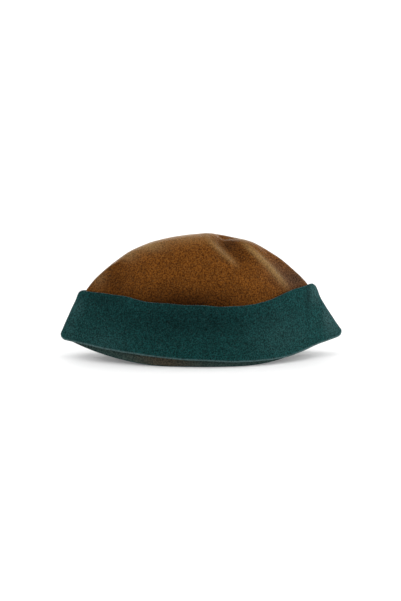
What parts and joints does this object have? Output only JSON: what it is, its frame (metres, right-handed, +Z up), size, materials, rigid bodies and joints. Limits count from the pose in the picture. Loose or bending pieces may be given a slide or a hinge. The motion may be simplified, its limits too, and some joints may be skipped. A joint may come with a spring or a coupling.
{
  "type": "felt cap",
  "caption": "Soft low felt cap with a brown domed crown and a wide green cuff lapped round its lower wall, standing folded nearly flat on its hem.",
  "frame": {"origin": "on the floor, under the middle of the hat's outline", "axes": "+Z up, -Y towards the wearer's front, +X from crease to crease along the folded hat"},
  "size_m": [0.2794, 0.0998, 0.1266],
  "materials": {
    "crown_felt": "matt brown wool felt, lightly mottled",
    "cuff_felt": "matt dark teal-green wool felt, lightly mottled"
  },
  "bodies": {
    "root": {"crown": "crown_felt", "cuff": "cuff_felt"}
  },
  "joints": []
}
